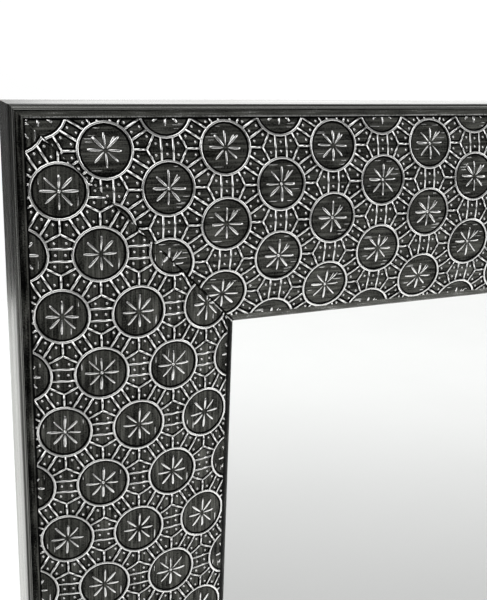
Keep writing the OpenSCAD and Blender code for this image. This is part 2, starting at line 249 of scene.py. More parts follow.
def new_group(name, inputs, outputs):
    """A node group that takes a vector and the named numbers and colours, each given as its default."""
    tree = bpy.data.node_groups.new(name, "ShaderNodeTree")
    tree.interface.new_socket("Vector", in_out="INPUT", socket_type="NodeSocketVector")
    for socket, default in inputs.items():
        kind, value = ("Color", (*default, 1.0)) if isinstance(default, tuple) else ("Float", default)
        item = tree.interface.new_socket(socket, in_out="INPUT", socket_type=f"NodeSocket{kind}")
        item.default_value = value
    for socket in outputs:
        kind = "Color" if socket == "Colour" else "Float"
        tree.interface.new_socket(socket, in_out="OUTPUT", socket_type=f"NodeSocket{kind}")
    return tree.nodes.new("NodeGroupInput").outputs, tree.nodes.new("NodeGroupOutput").inputs


def use_group(name, **inputs):
    """Places a node group in a material and returns its outputs."""
    tree = inputs["Vector"].id_data
    return add_node(tree, "ShaderNodeGroup", inputs, node_tree=bpy.data.node_groups[name]).outputs


def build_streaks_group():
    """Fine lines along Y of the given vector, as rolled or brushed metal has."""
    given, result = new_group("Streaks", {"Fine": 2600.0, "Coarse": 420.0, "Along": 35.0}, ("Lines", "Patches"))
    for width, output, detail, limits in (("Fine", "Lines", 3.0, (0.3, 0.7)), ("Coarse", "Patches", 2.0, (0.32, 0.68))):
        scale = chain("ShaderNodeCombineXYZ", {0: given[width], 1: given["Along"], 2: given[width]})[0]
        feed(result[output], remap(stretched_noise(given["Vector"], scale, detail), *limits))


def build_hand_rubbed_group():
    """Antiqued silver: black where the relief is low, bare where a cloth reached."""
    colours = {"Silver": (0.8, 0.8, 0.8), "Ground": (0.04, 0.04, 0.04), "Patina": (0.01, 0.01, 0.01)}
    given, result = new_group(
        "Hand rubbed", {"Relief": 0.5, "Lines": 0.5, **colours}, ("Colour", "Roughness", "Height")
    )
    vector, lines, ground = given["Vector"], given["Lines"], given["Ground"]
    grit = stretched_noise(vector, (1500.0, 1500.0, 1500.0), 4.0, 0.6)
    cloth = stretched_noise(vector, (90.0, 90.0, 90.0), 3.0)
    rubbed = given["Relief"]
    for change, amount in ((grit, 0.60), (cloth, 0.38), (lines, 0.20)):
        rubbed = plus(rubbed, times(minus(change, 0.5), amount))
    bare = remap(rubbed, 0.50, 0.80)
    lit_ground = mix_colour(remap(lines, 0.45, 1.0, 0.0, 0.8), ground, dimmed(ground, 2.0))
    covered = mix_colour(remap(rubbed, 0.17, 0.48), given["Patina"], lit_ground)
    feed(result["Colour"], mix_colour(bare, covered, given["Silver"]))
    feed(result["Roughness"], plus(remap(bare, 0.0, 1.0, 0.40, 0.14), times(grit, 0.16)))
    feed(result["Height"], times(plus(lines, grit), remap(bare, 0.0, 1.0, 1.0, 0.5)))


def build_grain_group():
    """Softwood: growth bands along Z of the given vector, with pores and a few darker streaks."""
    given, result = new_group("Softwood grain", {"Pale": (0.6, 0.45, 0.28), "Band": 150.0}, ("Colour", "Height"))
    vector, pale = given["Vector"], given["Pale"]
    drift = stretched_noise(vector, (12.0, 12.0, 1.1), 3.0)
    band = calculate("FRACT", plus(times(separate(vector)[0], given["Band"]), times(drift, 11.0)))
    late = times(remap(band, 0.30, 0.93), remap(band, 0.93, 1.0, 1.0, 0.0))
    hair = stretched_noise(vector, (900.0, 900.0, 9.0), 3.0)
    streak = stretched_noise(vector, (60.0, 60.0, 2.2))
    pores = stretched_noise(vector, (2200.0, 2200.0, 60.0))
    dark = mix_colour(0.50, pale, (0.20, 0.10, 0.04))
    tone = mix_colour(times(late, 0.62), pale, dark)
    tone = mix_colour(remap(hair, 0.42, 0.72, 0.0, 0.38), tone, dark)
    tone = mix_colour(remap(streak, 0.52, 0.75, 0.0, 0.45), tone, (0.36, 0.20, 0.09))
    feed(result["Colour"], mix_colour(remap(pores, 0.58, 0.80, 0.0, 0.35), tone, (0.16, 0.09, 0.04)))
    feed(result["Height"], plus(plus(times(late, 0.4), times(hair, 0.5)), pores))


def build_mottle_group():
    """Slow and fine variation for rubber, film, foam, board and the floor."""
    values = {"Slow": 12.0, "Fine": 600.0, "Colour": (0.5, 0.5, 0.5), "Spread": 0.15}
    given, result = new_group("Mottle", values, ("Colour", "Height"))
    slow, fine = (
        chain("ShaderNodeTexNoise", {"Vector": given["Vector"], "Scale": given[scale], "Detail": 3.0})["Fac"]
        for scale in ("Slow", "Fine")
    )
    change = times(minus(plus(slow, fine), 1.0), given["Spread"])
    feed(result["Colour"], dimmed(given["Colour"], plus(1.0, times(change, 2.0))))
    feed(result["Height"], fine)


# Materials


def new_material(name, **shader):
    """A material with a Principled shader, its plain values set on the shader's own sockets."""
    material = bpy.data.materials.new(name)
    material.use_nodes = True
    tree = material.node_tree
    tree.nodes.clear()
    principled = add_node(tree, "ShaderNodeBsdfPrincipled")
    add_node(tree, "ShaderNodeOutputMaterial", {"Surface": principled.outputs[0]})
    for key, value in shader.items():
        principled.inputs[key.replace("_", " ")].default_value = value
    return material, tree, principled.inputs


def surface(shader, colour_socket, roughness=None, bump=None):
    """Feeds a shader its colour, its roughness and a bump given as its height, its depth in mm and its strength."""
    feed(shader["Base Color"], colour_socket)
    if roughness is not None:
        feed(shader["Roughness"], roughness)
    if bump is not None:
        height, depth_mm, strength = bump
        inputs = {"Strength": strength, "Distance": depth_mm * MM, "Height": height}
        feed(shader["Normal"], chain("ShaderNodeBump", inputs)[0])


def object_place(tree, turn=(0.0, 0.0, 0.0)):
    """The piece's own coordinates in metres, turned so that a pattern runs the right way."""
    place = add_node(tree, "ShaderNodeTexCoord").outputs["Object"]
    return chain("ShaderNodeMapping", {"Vector": place, "Rotation": turn})[0]


def sheet_place(tree):
    """The place on the flat sheet, from its UV map, and how far it is rubbed, with painted shade and reflection on some
    parts, from its relief attribute.
    """
    flat = add_node(tree, "ShaderNodeUVMap", uv_map="sheet").outputs[0]
    return flat, add_node(tree, "ShaderNodeAttribute", attribute_name="relief").outputs["Fac"]


def facing_material():
    """Embossed sheet: antiqued, then rubbed bare on its ridges, with painted shade and reflection on its border and
    roll.
    """
    material, tree, shader = new_material("antiqued_silver", Metallic=1.0)
    flat, relief = sheet_place(tree)
    streaks = use_group("Streaks", Vector=flat, Fine=2300.0, Coarse=700.0, Along=42.0)
    lines = plus(times(streaks["Lines"], 0.4), times(streaks["Patches"], 0.6))
    colours = {name.capitalize(): tint(name) for name in ("silver", "ground", "patina")}
    rubbed = use_group("Hand rubbed", Vector=flat, Relief=relief, Lines=lines, **colours)
    surface(shader, rubbed["Colour"], rubbed["Roughness"], (rubbed["Height"], 0.04, 0.5))
    return material


def strip_material():
    """Darkened plain strip with drawing lines along it and rubbed edges, and painted shade on its side, corner and the
    stiles' bead.
    """
    material, tree, shader = new_material("darkened_strip", Metallic=1.0)
    flat, relief = sheet_place(tree)
    streaks = use_group("Streaks", Vector=flat, Fine=1900.0, Coarse=260.0, Along=9.0)
    rubbed = plus(relief, times(streaks["Lines"], 0.12))
    plain = mix_colour(times(streaks["Patches"], 0.35), tint("strip"), (0.52, 0.52, 0.50))
    dark = mix_colour(remap(rubbed, 0.0, 0.5), (0.02, 0.02, 0.02), plain)
    lit = mix_colour(remap(rubbed, 0.62, 1.0), dark, tint("silver"))
    surface(shader, lit, remap(streaks["Patches"], 0.0, 1.0, 0.20, 0.30), (streaks["Lines"], 0.02, 0.35))
    return material


def silvered_glass_material():
    """Clean mirror, with a soft line of painted shade beside the stiles, where the silver is darker and duller."""
    moulding = settings("moulding")
    material, tree, shader = new_material("silvered_glass", Metallic=1.0, Coat_Weight=1.0, Coat_Roughness=0.0)
    place = object_place(tree)
    sight_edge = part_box("edge_strip_right")[1].x - moulding.member_width
    from_edge = minus(sight_edge, calculate("ABSOLUTE", separate(place)[0]))
    reach = remap(stretched_noise(place, (7.0, 7.0, 5.0)), 0.2, 0.8, 3.4 * MM, 4.6 * MM)
    # Painted shade: the silver darkens within a few millimetres of the stiles' sight edge
    edge_shade = minus(1.0, calculate("DIVIDE", from_edge, reach, clamp=True), clamp=True)
    surface(shader, mix_colour(edge_shade, (0.93, 0.94, 0.935), (0.50, 0.53, 0.505)), remap(edge_shade, 0.0, 1.0, 0.0, 0.10))
    return material


def timber_material(name, turn):
    material, tree, shader = new_material(name, Roughness=0.62, Specular_IOR_Level=0.35)
    grain = use_group("Softwood grain", Vector=object_place(tree, turn), Pale=tint("timber"))
    surface(shader, grain["Colour"], bump=(grain["Height"], 0.12, 0.5))
    return material


def board_material():
    """Pressed board: fibres in every direction on a brown ground."""
    material, tree, shader = new_material("pressed_board", Roughness=0.55, Specular_IOR_Level=0.4)
    place = object_place(tree)
    ground = use_group("Mottle", Vector=place, Slow=9.0, Fine=420.0, Colour=tint("board"), Spread=0.20)
    upright, level = (
        stretched_noise(place, scale, 3.0) for scale in ((150.0, 150.0, 1300.0), (1300.0, 150.0, 150.0))
    )
    fibres = calculate("MAXIMUM", upright, level)
    brown = mix_colour(remap(fibres, 0.60, 0.78, 0.0, 0.55), ground["Colour"], (0.42, 0.26, 0.14))
    surface(shader, brown, bump=(fibres, 0.08, 0.5))
    return material


def steel_material(name, plating, turn, roughness):
    """Plated steel with rolling lines."""
    material, tree, shader = new_material(name, Metallic=1.0)
    place = object_place(tree, turn)
    streaks = use_group("Streaks", Vector=place, Fine=1500.0, Coarse=180.0, Along=60.0)
    spots = stretched_noise(place, (260.0, 260.0, 260.0), 4.0)
    stain = plus(remap(spots, 0.48, 0.8, 0.0, 0.6), remap(streaks["Lines"], 0.4, 1.0, 0.0, 0.3))
    dulled = remap(streaks["Patches"], 0.0, 1.0, roughness, roughness + 0.14)
    surface(shader, mix_colour(stain, plating, scaled(plating, 0.55)), dulled, (streaks["Lines"], 0.02, 0.3))
    return material


def soft_material(name, finish, roughness, fine, spread, grain_mm):
    """Rubber, film, foam and the like: one colour that varies, over a fine grain."""
    material, tree, shader = new_material(name, Roughness=roughness, Specular_IOR_Level=0.35)
    mottle = use_group("Mottle", Vector=object_place(tree), Slow=18.0, Fine=fine, Colour=tint(finish), Spread=spread)
    surface(shader, mottle["Colour"], bump=(mottle["Height"], grain_mm, 0.5))
    return material


# Making pieces


SMOOTH_ANGLE = math.radians(32)
WELD = 0.001 * MM
ON_PLANE = 0.0005 * MM


def transformed(bm, matrix, geometry=None):
    bmesh.ops.transform(bm, matrix=matrix, verts=geometry if geometry is not None else bm.verts)


def of_kind(parts, kind):
    return [part for part in parts if isinstance(part, kind)]


def whole(bm):
    return bm.verts[:] + bm.edges[:] + bm.faces[:]


def trim(bm, point, normal, fill=True, geometry=None):
    """Cuts away what lies past a plane and, unless told otherwise, closes the cut."""
    cut = bmesh.ops.bisect_plane(
        bm, geom=geometry or whole(bm), dist=ON_PLANE, plane_co=point, plane_no=normal, clear_outer=True
    )
    if fill:
        edges = [edge for edge in of_kind(cut["geom_cut"], bmesh.types.BMEdge) if edge.is_boundary]
        bmesh.ops.holes_fill(bm, edges=edges, sides=0)


def slice_across(bm, point, normal):
    """Adds a line of edges where a plane meets the mesh."""
    bmesh.ops.bisect_plane(bm, geom=whole(bm), dist=0.005 * MM, plane_co=point, plane_no=normal)


def mesh_of(name, bm):
    """Turns a bmesh into a mesh and frees it."""
    mesh = bpy.data.meshes.new(name)
    bm.to_mesh(mesh)
    bm.free()
    return mesh


def in_scene(name, data):
    """A new object in the scene."""
    thing = bpy.data.objects.new(name, data)
    bpy.context.scene.collection.objects.link(thing)
    return thing


def finish_piece(name, bm, material, nodes=(), body=ROOT):
    """Turns a bmesh into a piece that rides on a body and stands for the nodes that it replaces."""
    piece = in_scene(name, mesh_of(name, bm))
    piece.data.materials.append(material)
    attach(piece, body)
    if nodes:
        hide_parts(*nodes)
    return piece


def dress(material, *nodes):
    """Gives CAD nodes whose shape is right their finish."""
    for node in nodes:
        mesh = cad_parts[node].data
        mesh.materials.clear()
        mesh.materials.append(material)


def eased_copy(node, name, material, width_mm, body=ROOT):
    """A copy of a CAD node with its sharp edges eased by a small bevel."""
    bm = bmesh.new()
    bm.from_mesh(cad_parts[node].data)
    bmesh.ops.remove_doubles(bm, verts=bm.verts, dist=WELD)
    bmesh.ops.dissolve_limit(bm, angle_limit=math.radians(1.0), verts=bm.verts, edges=bm.edges)
    bmesh.ops.recalc_face_normals(bm, faces=bm.faces)
    sharp = [edge for edge in bm.edges if edge.is_manifold and edge.calc_face_angle() > SMOOTH_ANGLE]
    bmesh.ops.bevel(
        bm, geom=sharp, offset=width_mm * MM, offset_type="OFFSET", segments=2, profile=0.5,
        affect="EDGES", clamp_overlap=True, material=-1,
    )
    bent = [len(face.verts) <= 4 and face.calc_area() < 60 * MM * MM for face in bm.faces]
    piece = finish_piece(name, bm, material, [node], body)
    piece.data.set_sharp_from_angle(angle=SMOOTH_ANGLE)
    piece.data.polygons.foreach_set("use_smooth", bent)


class Member:
    """One mitred member: its section and its place in the mirror.

    Its own coordinates are h, inwards from the outer edge, d, back from the crest, and l, along it.
    """

    def __init__(self, name):
        moulding = settings("moulding")
        low = Vector((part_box("edge_strip_left")[0].x, 0.0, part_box("edge_strip_bottom")[0].z))
        high = Vector((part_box("edge_strip_right")[1].x, 0.0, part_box("edge_strip_top")[1].z))
        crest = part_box(f"{name}_facing")[0].y
        self.name = name
        self.kind, side = name.split("_")
        self.strip = f"edge_strip_{side}"
        self.width = moulding.member_width
        self.crest_at = moulding.crest_at
        self.face_radius = moulding.face_radius
        self.roll_radius = moulding.roll_radius
        self.ledge_at = moulding.ledge_at
        self.roll_h = self.width - self.roll_radius
        inner = self.face_radius - self.roll_radius
        self.roll_d = self.face_radius - math.sqrt(inner ** 2 - (self.roll_h - self.crest_at) ** 2)
        self.turn = math.asin((self.roll_h - self.crest_at) / inner)
        self.start = self.angle_at(settings("emboss").inset)
        self.face_length = (self.turn - self.start) * self.face_radius
        self.roll_length = (math.pi / 2 - self.turn) * self.roll_radius
        self.length = (high.z - low.z) if name in STILES else (high.x - low.x)
        across, up = {
            "stile_left": ((1, 0, 0, low.x), (0, 0, 1, low.z)),
            "stile_right": ((-1, 0, 0, high.x), (0, 0, 1, low.z)),
            "rail_top": ((0, 0, 1, low.x), (-1, 0, 0, high.z)),
            "rail_bottom": ((0, 0, 1, low.x), (1, 0, 0, low.z)),
        }[name]
        self.place = Matrix((across, (0, 1, 0, crest), up)).to_4x4()

    def angle_at(self, h):
        return math.asin((h - self.crest_at) / self.face_radius)

    def on_face(self, angle, rise):
        """h and d at an angle round the face's centre, raised over the face by rise."""
        reach = self.face_radius + rise
        return self.crest_at + reach * math.sin(angle), self.face_radius - reach * math.cos(angle)

    def arc_of(self, h):
        """How far along the section the face reaches a distance from the outer edge."""
        return (self.angle_at(h) - self.start) * self.face_radius

    def section_end(self):
        return self.face_length + self.roll_length + self.ledge_at - self.roll_d

    def section_point(self, s, rise):
        """h and d at an arc length s from the pattern's first line, raised over the face by rise."""
        angle = self.start + s / self.face_radius
        if angle <= self.turn:
            return self.on_face(angle, rise)
        angle = self.turn + (s - self.face_length) / self.roll_radius
        if angle <= math.pi / 2:
            reach = self.roll_radius + rise
            return self.roll_h + reach * math.sin(angle), self.roll_d - reach * math.cos(angle)
        return self.width + rise, self.roll_d + s - self.face_length - self.roll_length

    def mitres(self, back_off):
        """A point on each end's mitre plane and its outward normal, short of the joint by back_off."""
        for end, direction in ((0.0, 1.0), (self.length, -1.0)):
            normal = Vector((1.0, 0.0, -direction)).normalized()
            yield Vector((0.0, 0.0, end)) - normal * back_off, normal

    def cut_mitres(self, bm, back_off, fill=True):
        for point, normal in self.mitres(back_off):
            trim(bm, point, normal, fill)

    def set_in_place(self, bm):
        transformed(bm, self.place)
        bmesh.ops.recalc_face_normals(bm, faces=bm.faces)


# The embossing


# How bare the metal is rubbed, from below 0 in the black foot of a ridge to 1, with some painted light in TONES
GROUND_TONE = 0.36
FOOT_TONE = -0.32
BARE_TONE = 0.90
DASH_TONE = 0.72
LINE_TONE = 0.05
LAST_TURN_TONE = 0.10
# Tones for each kind of member: the stiles' border, light line, roll and bead are darker as painted shade, the rails'
# lighter as painted reflection; roll_mitre is the bare cut end of the sheet
TONES = {
    "stile": {"border": 0.26, "light_line": 0.44, "roll": -0.20, "bead": 0.26, "roll_mitre": 1.0},
    "rail": {"border": 0.44, "light_line": 0.60, "roll": 0.12, "bead": 0.46, "roll_mitre": LINE_TONE},
}

# Ranges of the random draws, as shares of each measure
RAY_TURN = (-0.06, 0.06)
RAY_END = (0.86, 1.05)
RAY_START = (0.6, 1.6)
RAY_BREADTH = (0.58, 1.1)
RAY_RISE = (0.72, 0.92)
DASH_ASIDE = (0.20, 0.80)
DASH_ALONG = (0.6, 0.85)
DASH_LENGTH_MM = (2.4, 6.0)
PRESS = (0.88, 1.0)

# The medallions drawn for each kind of member, and the row that each member's pattern starts on, in mm
VARIANTS = 6
DRAWN = {"stile": {"split_ray": -1, "dashes": 2}, "rail": {"split_ray": 3, "dashes": 5}}
FIRST_ROW_MM = {"stile_left": 1665.7, "stile_right": 9.0, "rail_top": 37.7, "rail_bottom": 21.0}

# Places across the section near the roll, in pitches from the first line
FADES_FROM = 2.72
PATTERN_END = 2.86
ROLL_TONE = (2.83, 2.88)
ROLL_RISES = (2.80, 3.05)


def ridge_section(width, height):
    """Across, height and tone round a pressed ridge: sunk foot, black base, bare shoulder and crest."""
    half = width / 2
    side = [
        (half + 1.05 * MM, -0.03 * MM, 0.25 * GROUND_TONE),
        (half + 0.06 * MM, 0.07 * MM, FOOT_TONE),
        (0.60 * half, 0.80 * height, BARE_TONE),
    ]
    return side + [(0.0, height, BARE_TONE)] + [(-across, up, tone) for across, up, tone in reversed(side)]


def section_loop(bm, width, height, matrix):
    """A closed loop in the shape of a ridge's section: its vertices and its edges."""
    relief = bm.verts.layers.float["relief"]
    verts = []
    for across, up, tone in ridge_section(width, height):
        vert = bm.verts.new(matrix @ Vector((across, 0.0, up)))
        vert[relief] = tone
        verts.append(vert)
    edges = [bm.edges.new((verts[i - 1], verts[i])) for i in range(len(verts))]
    return verts, edges


def add_bar(bm, start, end, width, height):
    """A straight ridge from start to end, closed at both ends."""
    run = end - start
    turn = Matrix.Rotation(math.atan2(run.y, run.x) - math.pi / 2, 4, "Z")
    verts = section_loop(bm, width, height, Matrix.Translation(start) @ turn)[0]
    swept = bmesh.ops.extrude_face_region(bm, geom=[bm.faces.new(verts)], use_keep_orig=True)
    bmesh.ops.translate(bm, verts=of_kind(swept["geom"], bmesh.types.BMVert), vec=run)


def add_ring(bm, radius, width, height, steps):
    """A round ridge, spun about the origin."""
    verts, edges = section_loop(bm, width, height, Matrix.Translation((radius, 0.0, 0.0)))
    bmesh.ops.spin(
        bm, geom=verts + edges, cent=(0.0, 0.0, 0.0), axis=(0.0, 0.0, 1.0), angle=math.tau, steps=steps, use_merge=True
    )


def sink_bump(bm, verts, matrix, top_tone):
    """Places a rounded bump made at unit size, cuts off what lies under the ground and gives it its tones."""
    relief = bm.verts.layers.float["relief"]
    for vert in verts:
        up = max(0.0, vert.co.z)
        vert[relief] = FOOT_TONE + (top_tone - FOOT_TONE) * min(1.0, 1.9 * up)
    transformed(bm, matrix, verts)
    around = dict.fromkeys(part for vert in verts for part in (*vert.link_edges, *vert.link_faces))
    trim(bm, (0.0, 0.0, -0.04 * MM), (0.0, 0.0, -1.0), geometry=[*verts, *around])


def add_dot(bm, centre, radius, height):
    """A low round bump."""
    dot = bmesh.ops.create_icosphere(bm, subdivisions=1, radius=1.0)["verts"]
    sink_bump(bm, dot, Matrix.Translation(centre) @ Matrix.Diagonal((radius, radius, height, 1.0)), BARE_TONE)


def add_seed(bm, centre, angle, reach, width, height, lean=0.0, top_tone=BARE_TONE):
    """A raised seed shape: a ray of a star or a dash, fuller towards its outer end by lean."""
    seed = bmesh.ops.create_uvsphere(bm, u_segments=6, v_segments=6, radius=1.0)["verts"]
    transformed(bm, Matrix.Rotation(math.pi / 2, 4, "Y"), seed)
    for vert in seed:
        fuller = 1.0 + lean * vert.co.x
        vert.co.y *= fuller
        vert.co.z *= 0.5 + 0.5 * fuller
    size = Matrix.Diagonal((reach / 2, width / 2, height, 1.0))
    sink_bump(bm, seed, Matrix.Translation(centre) @ Matrix.Rotation(angle, 4, "Z") @ size, top_tone)


def along(angle, distance):
    return Vector((math.cos(angle) * distance, math.sin(angle) * distance, 0.0))


def new_cell():
    bm = bmesh.new()
    bm.verts.layers.float.new("relief")
    return bm


def cell_mesh(name, bm):
    bmesh.ops.recalc_face_normals(bm, faces=bm.faces)
    for face in bm.faces:
        face.smooth = True
    return mesh_of(name, bm)


def medallion_mesh(variant, split_ray, dashes):
    """One medallion about the origin: its ring, star, centre boss and a few struck dashes."""
    emboss = settings("emboss")
    rng = random.Random(emboss.seed * 100 + variant)
    full = emboss.relief
    bm = new_cell()
    add_ring(bm, emboss.ring_radius, emboss.ridge_width, 0.96 * full, 26)
    for ray in range(emboss.rays):
        angle = math.tau * ray / emboss.rays + rng.uniform(*RAY_TURN)
        outer = emboss.ray_outer * rng.uniform(*RAY_END)
        inner = emboss.ray_inner * rng.uniform(*RAY_START)
        width = emboss.ray_width * rng.uniform(*RAY_BREADTH)
        middle = along(angle, (outer + inner) / 2)
        add_seed(bm, middle, angle, outer - inner, width, full * rng.uniform(*RAY_RISE), lean=0.38)
        if ray == split_ray:
            beside = along(angle + 0.16, 0.62 * emboss.ray_outer)
            add_seed(bm, beside, angle + 0.3, 0.55 * emboss.ray_outer, 0.8 * width, 0.6 * full)
    if rng.random() < 0.5:
        add_dot(bm, Vector(), 1.3 * emboss.dot_radius, 0.85 * full)
    for dash in range(dashes):
        side = rng.choice((-1, 1)) * rng.uniform(*DASH_ASIDE) * emboss.ring_radius
        room = math.sqrt(max(0.0, (0.86 * emboss.ring_radius) ** 2 - side ** 2))
        place = Vector((side, rng.choice((-1, 1)) * rng.uniform(*DASH_ALONG) * room, 0.0))
        reach = rng.uniform(*DASH_LENGTH_MM) * MM
        add_seed(bm, place, math.pi / 2, reach, 0.66 * MM, 0.30 * full, top_tone=DASH_TONE)
    return cell_mesh("medallion", bm)


def lattice_mesh():
    """The bridges, stars of three arms and dots that belong to one medallion about the origin."""
    emboss = settings("emboss")
    pitch, step, full = emboss.pitch, emboss.row_step, emboss.relief
    bar_width, bar_height = 0.92 * emboss.ridge_width, 0.90 * full
    neighbours = [Vector((pitch, 0, 0)), Vector((pitch / 2, step, 0)), Vector((-pitch / 2, step, 0))]
    meets = math.sqrt(emboss.ring_radius ** 2 - emboss.bar_offset ** 2)
    bm = new_cell()
    for run in neighbours:
        toward, middle = run.normalized(), run / 2
        aside = Vector((-toward.y, toward.x, 0))
        for side in (-1, 1):
            shift = aside * side * emboss.bar_offset
            add_bar(bm, toward * meets + shift, run - toward * meets + shift, bar_width, bar_height)
            for end in (-1, 1):
                place = middle + aside * side * 0.15 * pitch + toward * end * 0.075 * pitch
                add_dot(bm, place, emboss.dot_radius, 0.80 * full)
        for end in (-1, 1):
            add_dot(bm, middle + toward * end * 0.062 * pitch, emboss.dot_radius, 0.80 * full)
    for first, second in (neighbours[:2], neighbours[1:]):
        middle = (Vector() + first + second) / 3
        for corner in (Vector(), first, second):
            run = corner - middle
            add_bar(bm, middle, middle + run * (1 - emboss.ring_radius / run.length), 0.92 * bar_width, 0.86 * full)
    return cell_mesh("lattice", bm)


def lattice_places(member, phase):
    """Centres of the medallions on a member, from its first row on."""
    emboss = settings("emboss")
    reach = 0.7 * emboss.pitch
    rows = math.ceil(member.length / emboss.row_step) + 2
    for row in range(-2, rows):
        v = phase + row * emboss.row_step
        for column in range(-1, 4):
            s = (column + (0.5 if row % 2 == 0 else 0.0)) * emboss.pitch
            h = min(max(s, 0.0), member.width)
            if h - reach < v < member.length - h + reach:
                yield s, v


def wander(s, v):
    """Small, slow drift of the pattern, from dies cut by hand."""
    place = Vector((s, v, 0.0))
    drift = noise.noise_vector(place / (14 * MM)) + 0.45 * noise.noise_vector(place / (4.5 * MM))
    return drift * settings("emboss").waver


def sag(s, v):
    """Unevenness of the sheet where it lies on its glue."""
    return 0.05 * MM * noise.noise(Vector((s / (30 * MM), v / (45 * MM), 3.7)))


def smooth_step(value, low, high):
    share = min(1.0, max(0.0, (value - low) / (high - low)))
    return share * share * (3 - 2 * share)


def pitches(limits):
    return [limit * settings("emboss").pitch for limit in limits]


def ground_depth(s):
    """How far the ground lies below the ridges' tops: less in the border and on the roll."""
    emboss = settings("emboss")
    border = smooth_step(s, emboss.margin - 0.5 * MM, emboss.margin)
    roll = 1.0 - smooth_step(s, *pitches(ROLL_RISES))
    return emboss.relief * (0.45 + 0.55 * border) * roll


def wrap(bm, member):
    """Bends a flat pattern round the member's section: x runs across the face, y along it, z is height.

    The flat place of each point is kept as the UV map that the finish follows.
    """
    flat = bm.loops.layers.uv.new("sheet")
    for face in bm.faces:
        for loop in face.loops:
            loop[flat].uv = loop.vert.co.xy
    for vert in bm.verts:
        s, v, height = vert.co
        h, d = member.section_point(s, height - ground_depth(s) - 0.03 * MM + sag(s, v))
        vert.co = (h, d, v)


def pattern_piece(name, member, meshes, material, seed):
    """Lays copies of a motif on every place of the member's lattice, trims, bends and cuts them."""
    emboss = settings("emboss")
    rng = random.Random(seed)
    bm = bmesh.new()
    for s, v in lattice_places(member, FIRST_ROW_MM[member.name] * MM % (2 * emboss.row_step)):
        motif = meshes[rng.randrange(len(meshes))].copy()
        press = rng.uniform(*PRESS)
        motif.transform(Matrix.Translation((s, v, 0.0)) @ Matrix.Diagonal((1.0, 1.0, press, 1.0)))
        bm.from_mesh(motif)
        bpy.data.meshes.remove(motif)
    fades_from, pattern_end = pitches((FADES_FROM, PATTERN_END))
    for limit, direction in ((emboss.margin + 0.1 * MM, -1.0), (pattern_end, 1.0)):
        trim(bm, (limit, 0.0, 0.0), (direction, 0.0, 0.0))
    for vert in bm.verts:
        drift = wander(vert.co.x, vert.co.y)
        faded = 1.0 - 0.45 * smooth_step(vert.co.x, fades_from, pattern_end)
        vert.co = (vert.co.x + drift.x, vert.co.y + drift.y, vert.co.z * faded)
    wrap(bm, member)
    member.cut_mitres(bm, settings("moulding").seam + 0.2 * MM)
    member.set_in_place(bm)
    finish_piece(name, bm, material)


def sheet_tone(s, member):
    """How far the sheet is rubbed across its width: smooth border and roll, dark ground and last turn, with painted
    shade on the stiles and painted reflection on the rails in border, light line and roll.
    """
    border, tones = settings("emboss").margin, TONES[member.kind]
    for limit, tone in ((-1.2 * MM, tones["border"]), (-0.5 * MM, tones["light_line"]), (0.01 * MM, LINE_TONE)):
        if s < border + limit:
            return tone
    if s > member.face_length + 0.75 * member.roll_length:
        return LAST_TURN_TONE
    return GROUND_TONE + tones["roll"] * smooth_step(s, *pitches(ROLL_TONE))


def sheet_piece(member, material):
    """The sheet itself: its ground, the plain border, the roll and the side down to the ledge."""
    emboss, moulding = settings("emboss"), settings("moulding")
    first = member.arc_of(moulding.strip_thickness + 2 * moulding.glue)
    last = member.section_end()
    bm = bmesh.new()
    bmesh.ops.create_grid(bm, x_segments=60, y_segments=round(member.length / (14 * MM)), size=0.5)
    middle = Matrix.Translation(((first + last) / 2, member.length / 2, 0.0))
    transformed(bm, middle @ Matrix.Diagonal((last - first, member.length, 1.0, 1.0)))
    lines = [emboss.margin - short * MM for short in (1.25, 1.1, 0.6, 0.4, 0.0)]
    lines += [member.face_length + step / 10 * member.roll_length for step in range(11)]
    for line in lines:
        slice_across(bm, (line, 0.0, 0.0), (1.0, 0.0, 0.0))
    relief = bm.verts.layers.float.new("relief")
    for vert in bm.verts:
        vert[relief] = sheet_tone(vert.co.x, member)
    for face in bm.faces:
        face.smooth = True
    wrap(bm, member)
    for back_off in (0.75 * MM, 0.55 * MM):
        for point, normal in member.mitres(back_off):
            slice_across(bm, point, normal)
    member.cut_mitres(bm, moulding.seam, fill=False)
    for vert in bm.verts:
        h, d, l = vert.co
        short = (min(l, member.length - l) - h) / math.sqrt(2)
        if short < 0.6 * MM and h > 0.88 * member.width:
            vert[relief] = TONES[member.kind]["roll_mitre"]
        if short < 0.1 * MM and h > 0.62 * member.width:
            vert[relief] = FOOT_TONE
    member.set_in_place(bm)
    if sum(face.normal.y > 0.0 for face in bm.faces) > len(bm.faces) / 2:
        bmesh.ops.reverse_faces(bm, faces=bm.faces)
    bmesh.ops.solidify(bm, geom=bm.faces[:], thickness=emboss.sheet)
    finish_piece(f"{member.name}_sheet", bm, material, [f"{member.name}_facing"])


# The edge strips


BEAD_AT = 1.32 * MM
BEAD_RADIUS = 0.42 * MM
CORNER_RADIUS = 0.62 * MM
BACK_RADIUS = 0.6 * MM


def turned(radius, degrees):
    """A radius times an angle's sine and cosine."""
    return radius * math.sin(math.radians(degrees)), radius * math.cos(math.radians(degrees))


